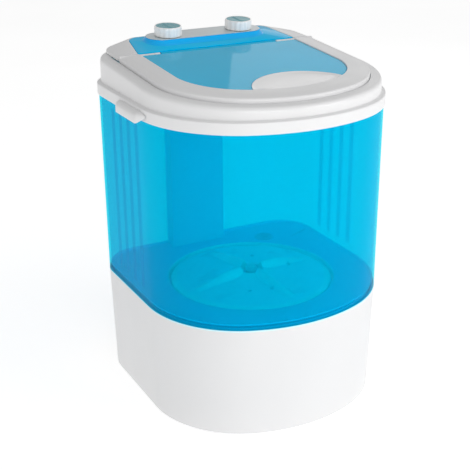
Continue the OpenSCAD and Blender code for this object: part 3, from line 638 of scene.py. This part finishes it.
def build_collar():
    """White collar: a bead over the tub, a rounded shoulder and a rebate for the lid."""
    g = REBATE_Z
    c = COLLAR_Z
    section = rounded([
        (1.6, c, 0.3), (-1.5, c, 1.6), (-1.5, c + 16.4, 2.2), (4.4, c + 18.2, 1.6), (4.6, g - 0.3, 13.5, 1),
        (20.5, g - 0.3, 0.9, 1), (20.7, g - 3, 0.3, 1), (30, g - 3, 0.8, 1), (30, g - 16, 0.5, 1),
        (27.5, g - 16, 0.5, 1), (27.5, g - 6, 0, 1), (12, g - 6.5, 0, 1), (7.2, g - 13, 0, 1),
        (7, c + 19, 0), (1.6, c + 14, 0)
    ], 9)
    rings = rings_of(section, lambda inset: open_path(inset, BACK_GAP))
    piece("collar_shell", *skin(rings, closed_path=False), WHITE, "cabinet", ["top_collar"], "white_shell")


def build_lid_frame():
    """White ring round the window, crowned towards its outer edge."""
    g = REBATE_Z
    w = DECK_Z
    e = WINDOW_INSET
    inner = LID_INSET
    section = rounded([
        (inner, g - 2.4, 0.4, 1), (inner, g + 5.9, 3.4, 1), (inner + 14, w - 0.5, 12, 1),
        (e, w + 0.2, 1.3, 1), (e, w - 2.9, 0.2, 1), (e - 8, w - 2.9, 0, 1), (inner + 14, w - 3.2, 0, 1),
        (inner + 3.6, g + 3.4, 0, 1), (inner + 2.6, g - 2.4, 0.3, 1)
    ], 7)
    rings = rings_of(section, lambda inset: front_path(inset, LID_END_Y))
    piece("lid_ring", *skin(rings, closed_path=False), WHITE, "lid", ["lid_frame"], "white_shell")


def around_grip(inset, back, gap):
    """Outline of a pane inside the lid's ring, with its front cut away round the finger grip."""
    path = front_path(inset, back)
    cx, cy, r = GRIP
    n = len(path)
    right = [p for p in path[: n // 2] if math.hypot(p[0] - cx, p[1] - cy) > r + gap]
    left = [p for p in path[n // 2:] if math.hypot(p[0] - cx, p[1] - cy) > r + gap]
    start = math.degrees(math.atan2(right[-1][1] - cy, right[-1][0] - cx))
    end = math.degrees(math.atan2(left[0][1] - cy, left[0][0] - cx)) % 360
    outline = right + arc(cx, cy, r + gap, start + 0.6, end - 0.6, 48) + left
    return outline + line(outline[-1], outline[0], 40)[1:]


def build_window():
    """Clear pane: a flange under the lid's ring, a raised middle, and a rail along the hinge axis."""
    centre = Vector((0, -10))
    flange = drawn_in(around_grip(WINDOW_INSET - 6, LID_Y, 0.2), centre, [(0, -5.4), (0, -3.4), (0.3, -3.1)])
    levels = [(0, -3.3), (0, -1.9), (0.6, -1.42)]
    middle = drawn_in(around_grip(WINDOW_INSET + 0.6, LID_Y, 1.9), centre, levels)
    for name, rings, nodes in (("window_flange", flange, []), ("window_pane", middle, ["lid_window"])):
        rings = [[(x, y - FRONT_Y, z) for x, y, z in ring] for ring in rings]
        verts, faces = capped(rings)
        piece(name, verts, faces, WINDOW_BLUE, "lid", nodes, "blue_window", place=deck_place())
    rail = 94.0
    section = [(LID_Y - HINGE_Y - 0.2, 0.9), (-2.4, 2.6), (-0.6, 3.2), (1.2, 3.0), (2.6, 1.9), (3.2, 0.3),
               (2.7, -1.7), (1.2, -2.9), (-0.8, -3.1), (-2.4, -2.1), (LID_Y - HINGE_Y - 0.2, -1.2)]
    rings = []
    for y, z in section:
        rings.append([(x, HINGE_Y + y, HINGE_Z + z) for x in (-rail, -rail + 0.5, 0, rail - 0.5, rail)])
    piece("window_rail", *skin(rings, closed_path=False), WINDOW_BLUE, "lid", slot="blue_window")


def build_finger_grip():
    """Crescent whose top dips in the middle and ends in a raised, rounded rim over the window."""
    cx, cy, r = GRIP
    path = front_path(WINDOW_INSET + 0.2, LID_Y)
    inside = [p for p in path if math.hypot(p[0] - cx, p[1] - cy) < r + 1.4]
    x0 = min(p[0] for p in inside)
    x1 = max(p[0] for p in inside)
    columns = 72
    front = []
    for i in range(columns + 1):
        x = x0 + (x1 - x0) * i / columns
        near = min(inside, key=lambda p: abs(p[0] - x))
        front.append((x, near[1]))
    # Share of the way over the grip from front to back, and height
    rows = [
        (0.0, -0.25), (0.06, -0.5), (0.2, -1.25), (0.42, -1.9), (0.64, -1.75), (0.82, -1.2), (0.92, -0.75),
        (0.965, -0.62), (0.99, -0.9), (1.0, -1.5), (1.0, -2.9), (0.5, -2.9), (0.0, -2.9)
    ]
    rings = []
    for v, drop in rows:
        ring = []
        for x, y in front:
            reach = math.sqrt(max((r + 1.4) ** 2 - (x - cx) ** 2, 0)) + cy
            y1 = max(y, reach)
            span = min(1.0, (y1 - y) / 18.0)
            z = drop if drop <= -2.9 else -0.75 + (drop + 0.75) * span
            ring.append((x, y + (y1 - y) * v - FRONT_Y, z))
        rings.append(ring)
    piece("grip_crescent", *skin(rings, closed_path=False), TRIM, "lid", ["finger_grip"], "white_trim",
          sharp=50, place=deck_place())


def panel_level(y):
    """Height of the panel's top at y."""
    return deck(DECK_Z, CHEEK_Y) + PANEL_RISE * (y - CHEEK_Y)


def narrowed(path, y0):
    """A path that gets narrower towards the back, from y0 on."""
    return [(x * (1 - PANEL_TAPER * (y - y0)), y) for x, y in path]


def console_row(path, low_share, high_share):
    """A path lifted by its share of the way from the collar to the panel, beside the lid and at the back."""
    row = []
    for x, y in path:
        t = min(1.0, (y - CHEEK_Y) / (CONSOLE_BACK - CHEEK_Y))
        edge = deck(REBATE_Z + 0.3, y)
        row.append((x, y, edge + (panel_level(y) - edge) * (low_share + (high_share - low_share) * t)))
    return row


def with_steps(path, steps):
    """A rear path with its two straight sides split into steps."""
    left = line(path[0], path[1], steps)
    right = line(path[-1], path[-2], steps)
    return left + path[1:-1] + right[::-1]


def build_console():
    """White surround: flat on top beside the lid, and a plain slope at the back."""
    side = HALF_W - LID_INSET
    steps = 16
    outer = with_steps(rear_path(side, CONSOLE_BACK, 37, CHEEK_Y), steps)
    inner = with_steps(rear_path(PANEL_HALF + 0.6, PANEL_BACK + 0.5, PANEL_R + 0.3, CHEEK_Y), steps)
    inner = narrowed(inner, CHEEK_Y)
    # Share of the way from the outer to the inner edge, then the two shares of console_row
    top = [
        (0, 0, 0), (0, 0.3, 0.12), (0.01, 0.5, 0.2), (0.035, 0.64, 0.25), (0.08, 0.74, 0.3),
        (0.17, 0.84, 0.38), (0.34, 0.92, 0.52), (0.53, 0.975, 0.68), (0.75, 1.01, 0.86),
        (0.93, 1.03, 1.01), (0.97, 1.02, 1.015), (0.99, 0.99, 0.99), (1, 0.94, 0.94), (1, 0.6, 0.6)
    ]
    rings = []
    for t, low_share, high_share in top:
        path = [(a[0] + (b[0] - a[0]) * t, a[1] + (b[1] - a[1]) * t) for a, b in zip(outer, inner)]
        rings.append(console_row(path, low_share, high_share))
    under = [(12, 174.8, 31, 0.54, 0.2), (4, 174.7, 34.4, 0.36, 0.08), (3, 174.6, 35, 0, 0)]
    for inset, back, r, low_share, high_share in under:
        path = with_steps(rear_path(side - inset, back, r, CHEEK_Y), steps)
        rings.append(console_row(path, low_share, high_share))
    verts, faces = skin(rings, closed_path=False)
    piece("console_shell", verts, faces, WHITE, "cabinet", ["console_cover"], "white_shell")


def build_panel():
    """Blue panel with a boss that flares out at its foot, and a silver plate on top."""
    outline = narrowed(rear_path(PANEL_HALF, PANEL_BACK - CHEEK_Y, PANEL_R, 0.2), 0)
    outline = outline + line(outline[-1], outline[0], 40)[1:]
    rings = drawn_in(outline, Vector((0, 40)), [(0, -2.5), (0, -0.6), (0.2, -0.15), (0.6, 0)])
    place = Matrix.Translation(Vector((0, CHEEK_Y, panel_level(CHEEK_Y))) * MM)
    place = place @ Matrix.Rotation(math.atan(PANEL_RISE), 4, "X")
    verts, faces = capped(rings)
    piece("panel_sheet", verts, faces, SHEET_BLUE, "cabinet", ["control_panel"], "blue_panel", place=place)
    place = console_place()
    # The boss flares into the panel at the front and the sides, but not past the panel's back
    boss = [
        (-10, -BOSS_H - 2.4), (-10, -BOSS_H - 0.5), (-8.6, -BOSS_H + 0.2), (-6, -BOSS_H + 1.2),
        (-3.4, -BOSS_H + 2.6), (-1.4, -3.2), (-0.3, -1.8), (0.3, -0.8), (1.0, -0.15), (1.8, 0)
    ]
    rings = [[(x, min(y, BOSS_R), z) for x, y in stadium(BOSS_HALF, BOSS_R - inset)] for inset, z in boss]
    verts, faces = capped(rings)
    piece("panel_boss", verts, faces, PANEL_BLUE, "cabinet", slot="blue_panel", place=place)
    plate = [(1.3, 0.02), (1.0, 0.2), (1.0, 0.55), (1.3, 0.78), (1.7, 0.8)]
    rings = [[(x, y, z) for x, y in stadium(BOSS_HALF, BOSS_R - inset)] for inset, z in plate]
    verts, faces = capped(rings)
    piece("boss_plate", verts, faces, PLATE, "cabinet", ["panel_plate"], "silver_plate", place=place)


def build_knob_insert(body, node, place):
    """A shallow dish with a raised, rounded pointer across it."""
    z = KNOB_H - 1.15
    rim = KNOB_R - 2.85
    bar_half = 2.6
    rows = 14
    rings = []
    for k in range(rows + 1):
        radius = rim * k / rows
        ring = []
        for x, y, _ in circle(radius, 0, 96):
            bar = max(0.0, 1 - (abs(x) / bar_half) ** 4) * (1.0 if abs(y) < rim - 1.5 else 0.0)
            ring.append((x, y, z + 0.25 + 0.25 * (radius / rim) ** 2 + 0.8 * bar))
        rings.append(ring)
    rings.append(circle(rim, z, 96))
    verts, faces = skin(rings, closed_section=False)
    faces.append(list(range(len(verts) - 96, len(verts))))
    piece(node + "_disc", verts, faces, INSERT, body, [node + "_insert"], "knob_insert",
          sharp=60, place=place)


def build_knob(side, word):
    """Knob with broad soft flutes, a rolled top edge and a sunk insert."""
    around = 240
    flutes = 16
    flute_depth = 0.75
    r = KNOB_R
    # Radius, height and share of the flutes' depth
    profile = [
        (r - 3, 0, 0.3), (r - 0.5, 0, 0.8), (r - 0.1, 0.4, 1), (r - 0.1, 4, 1), (r - 0.15, KNOB_H - 3.4, 1),
        (r - 0.4, KNOB_H - 1.9, 0.9), (r - 0.8, KNOB_H - 1.0, 0.6), (r - 1.3, KNOB_H - 0.35, 0.2),
        (r - 1.8, KNOB_H - 0.05, 0), (r - 2.2, KNOB_H - 0.1, 0), (r - 2.6, KNOB_H - 0.4, 0),
        (r - 2.7, KNOB_H - 1.2, 0), (3.1, KNOB_H - 1.2, 0), (3.1, 0.5, 0), (r - 3.2, 0.5, 0)
    ]
    rings = []
    for radius, z, depth in profile:
        ring = []
        for i in range(around):
            t = 2 * math.pi * i / around
            dent = flute_depth * depth * (0.5 + 0.5 * math.cos(flutes * t)) ** 1.5
            ring.append(((radius - dent) * math.cos(t), (radius - dent) * math.sin(t), z))
        rings.append(ring)
    place = console_place() @ Matrix.Translation(Vector((side * KNOB_X, 0, 1.5)) * MM)
    node = word + "_knob"
    body = word + "_control"
    # The cap's brighter white is painted light on its weakly lit faces
    piece(node + "_cap", *skin(rings), KNOB_WHITE_LIT, body, [node], "white_trim", sharp=50, place=place)
    build_knob_insert(body, node, place)


def build_side_grip(side, word):
    """Lifting grip: a lip that swells out of the collar's bead, hollow underneath for the fingers."""
    x0 = HALF_W + 1.6
    half = 48.0
    middle = 3.0
    out = 9.0
    drop_by = 3.5
    c = COLLAR_Z
    stations = 64
    # Share of the way out, height over the collar's foot, and whether the point drops at the middle
    profile = [
        (0.0, 13, 0), (0.25, 12.8, 0), (0.5, 12.1, 0), (0.74, 10.8, 0), (0.9, 8.9, 0), (0.98, 6.4, 0),
        (1.0, 3.6, 0), (1.0, 2, 1), (0.98, 1, 1), (0.92, 0.55, 1), (0.83, 0.6, 1), (0.75, 1.2, 1),
        (0.69, 2.4, 1), (0.66, 4, 0), (0.56, 6.4, 0), (0.4, 8, 0), (0.2, 8.8, 0), (0.0, 9, 0)
    ]
    rings = []
    for push, z, drop in profile:
        ring = []
        for i in range(stations + 1):
            s = -1 + 2 * i / stations
            t = min(1.0, (1 - abs(s)) / 0.34)
            swell = t * t * (3 - 2 * t)
            ring.append((side * (x0 - 0.5 + (out + 0.5) * push * (0.02 + 0.98 * swell)), middle + s * half,
                         c + 8 + (z - 8) * (0.35 + 0.65 * swell) - drop * drop_by * swell))
        rings.append(ring)
    piece(f"grip_lip_{word}", *skin(rings, closed_path=False), WHITE, "cabinet", [f"side_grip_{word}"],
          "white_trim", sharp=45)


# ---- Pulsator ----

def pulsator_dome(r):
    """Top of the plain dome over the pulsator's base, at a radius."""
    edge = max(0.0, (r - 108) / 12.0)
    return 12.0 - 4.0 * min(1.0, max(0.0, (r - 34) / 66.0)) - 2.5 * edge ** 2


def fin_height(r, t):
    """How far the rounded fins stand over the dome, at a radius and a bearing."""
    height = 0.0
    for k in range(FINS):
        bearing = math.radians(8 + 360 * k / FINS)
        across = r * math.sin(t - bearing)
        along = r * math.cos(t - bearing)
        if along > 0:
            shape = max(0.0, 1 - (abs(across) / 9.0) ** 2) ** 1.5
            reach = max(0.0, min(1.0, (108 - along) / 60.0)) * min(1.0, max(0.0, (along - 6) / 14.0))
            height = max(height, shape * reach * 12.0)
    return height


def pulsator_height(r, t):
    """Top of the pulsator over its base, at a radius and a bearing."""
    if r >= PULSATOR_R:
        return 5.0
    hub = 5.0 * max(0.0, 1 - max(0.0, r - HUB_R) / 14.0)
    ripple = 0.35 * math.cos(2 * math.pi * r / 14.0) if 44 < r < 108 else 0.0
    return pulsator_dome(r) + max(hub, fin_height(r, t)) + ripple


def pulsator_holes(z0):
    """Cylinders for the six holes through the disc."""
    bm = bmesh.new()
    for degrees in (0, 60, 90, 180, 240, 270):
        t = math.radians(degrees)
        place = Matrix.Translation(Vector((65 * math.cos(t), 65 * math.sin(t), z0 + 10)) * MM)
        bmesh.ops.create_cone(bm, cap_ends=True, segments=32, radius1=0.0035, radius2=0.0035, depth=0.06,
                              matrix=place)
    return bm


def build_pulsator():
    """Shallow dome with rings, four rounded fins, a hub and holes; the rim, fins and hub are painted
    near-white as a highlight.
    """
    z0 = low("pulsator").z
    around = 360
    radii = [18, 20, 22, 24, 27, *range(30, 95, 4), *range(97, 113, 3), 114, 116, 118, 119.3, PULSATOR_R]
    rings = []
    for r in radii:
        turns = [2 * math.pi * i / around for i in range(around)]
        rings.append([(r * math.cos(t), r * math.sin(t), z0 + pulsator_height(r, t)) for t in turns])
    underside = [(PULSATOR_R, 0.0), (116.5, 0.0), (116, 4.0), (34, 8.0), (24, 8.0), (HUB_R, 8.0)]
    rings += [circle(r, z0 + z, around) for r, z in underside]
    verts, faces = skin(rings)
    disc = piece("pulsator_disc", verts, faces, PALE, "pulsator_drive", ["pulsator"], "blue_pulsator",
                 sharp=50)

    # The rim and the raised fins and hub take the painted highlight colour
    def raised(spot):
        r = math.hypot(spot.x, spot.y)
        return int(112 < r < PULSATOR_R or (r < 119 and spot.z > z0 + pulsator_dome(r) + 1.2))

    paint(disc, [PULSATOR_HIGHLIGHT], raised)
    boolean_cut(disc, pulsator_holes(z0))


SIDES = ((-1, "left"), (1, "right"))

build_base()
build_tub()
for side, word in SIDES:
    build_ribs(side, word)
build_collar()
build_lid_frame()
build_window()
build_finger_grip()
build_console()
build_panel()
build_knob(-1, "wash")
build_knob(1, "spin")
for side, word in SIDES:
    build_side_grip(side, word)
build_pulsator()


# ---- Studio ----

def build_studio():
    """A pale floor that glows a little, and a white world."""
    bm = bmesh.new()
    bmesh.ops.create_grid(bm, x_segments=1, y_segments=1, size=30.0)
    mesh = bpy.data.meshes.new("floor")
    bm.to_mesh(mesh)
    bm.free()
    floor = bpy.data.objects.new("studio_floor", mesh)
    bpy.context.scene.collection.objects.link(floor)
    paper = Nodes("studio_paper")
    paper.link(paper.colours(paper.noise(2.0), (0.92, 0.92, 0.92), (0.94, 0.94, 0.94)),
               paper.bsdf.inputs["Base Color"])
    paper.bsdf.inputs["Roughness"].default_value = 0.9
    paper.bsdf.inputs["Specular IOR Level"].default_value = 0.0
    paper.bsdf.inputs["Emission Color"].default_value = (1, 1, 1, 1)
    paper.bsdf.inputs["Emission Strength"].default_value = 0.42
    floor.data.materials.append(paper.material)
    world = bpy.data.worlds.new("studio")
    world.use_nodes = True
    world.node_tree.nodes["Background"].inputs["Color"].default_value = (1, 1, 1, 1)
    world.node_tree.nodes["Background"].inputs["Strength"].default_value = 0.58
    bpy.context.scene.world = world


def area_light(name, place, target, size, watts):
    """A soft rectangular light at a place in metres, turned to a target."""
    data = bpy.data.lights.new(name, "AREA")
    data.shape = "RECTANGLE"
    data.size = size[0]
    data.size_y = size[1]
    data.energy = watts
    light = bpy.data.objects.new(name, data)
    bpy.context.scene.collection.objects.link(light)
    light.location = place
    light.rotation_euler = (Vector(target) - Vector(place)).to_track_quat("-Z", "Y").to_euler()


def build_camera():
    """The camera, at the object's front left and a little above it."""
    data = bpy.data.cameras.new("camera")
    data.sensor_width = 36.0
    data.lens = 78.70
    data.shift_x = -0.0339
    data.shift_y = -0.0231
    camera = bpy.data.objects.new("camera", data)
    bpy.context.scene.collection.objects.link(camera)
    camera.location = (-0.6768, -1.2493, 0.8075)
    aim = Vector((0, 0, 0.254)) - camera.location
    camera.rotation_euler = aim.to_track_quat("-Z", "Y").to_euler()
    bpy.context.scene.camera = camera


build_studio()
area_light("key", (1.7, -2.1, 1.1), (0, 0, 0.3), (1.4, 1.2), 17)
area_light("front", (-0.5, -2.6, 0.8), (0, 0, 0.3), (1.6, 1.0), 14)
area_light("back", (1.5, 1.9, 1.25), (0, 0, 0.5), (0.9, 0.7), 1.2)
build_camera()
bpy.context.scene.view_settings.view_transform = "Standard"
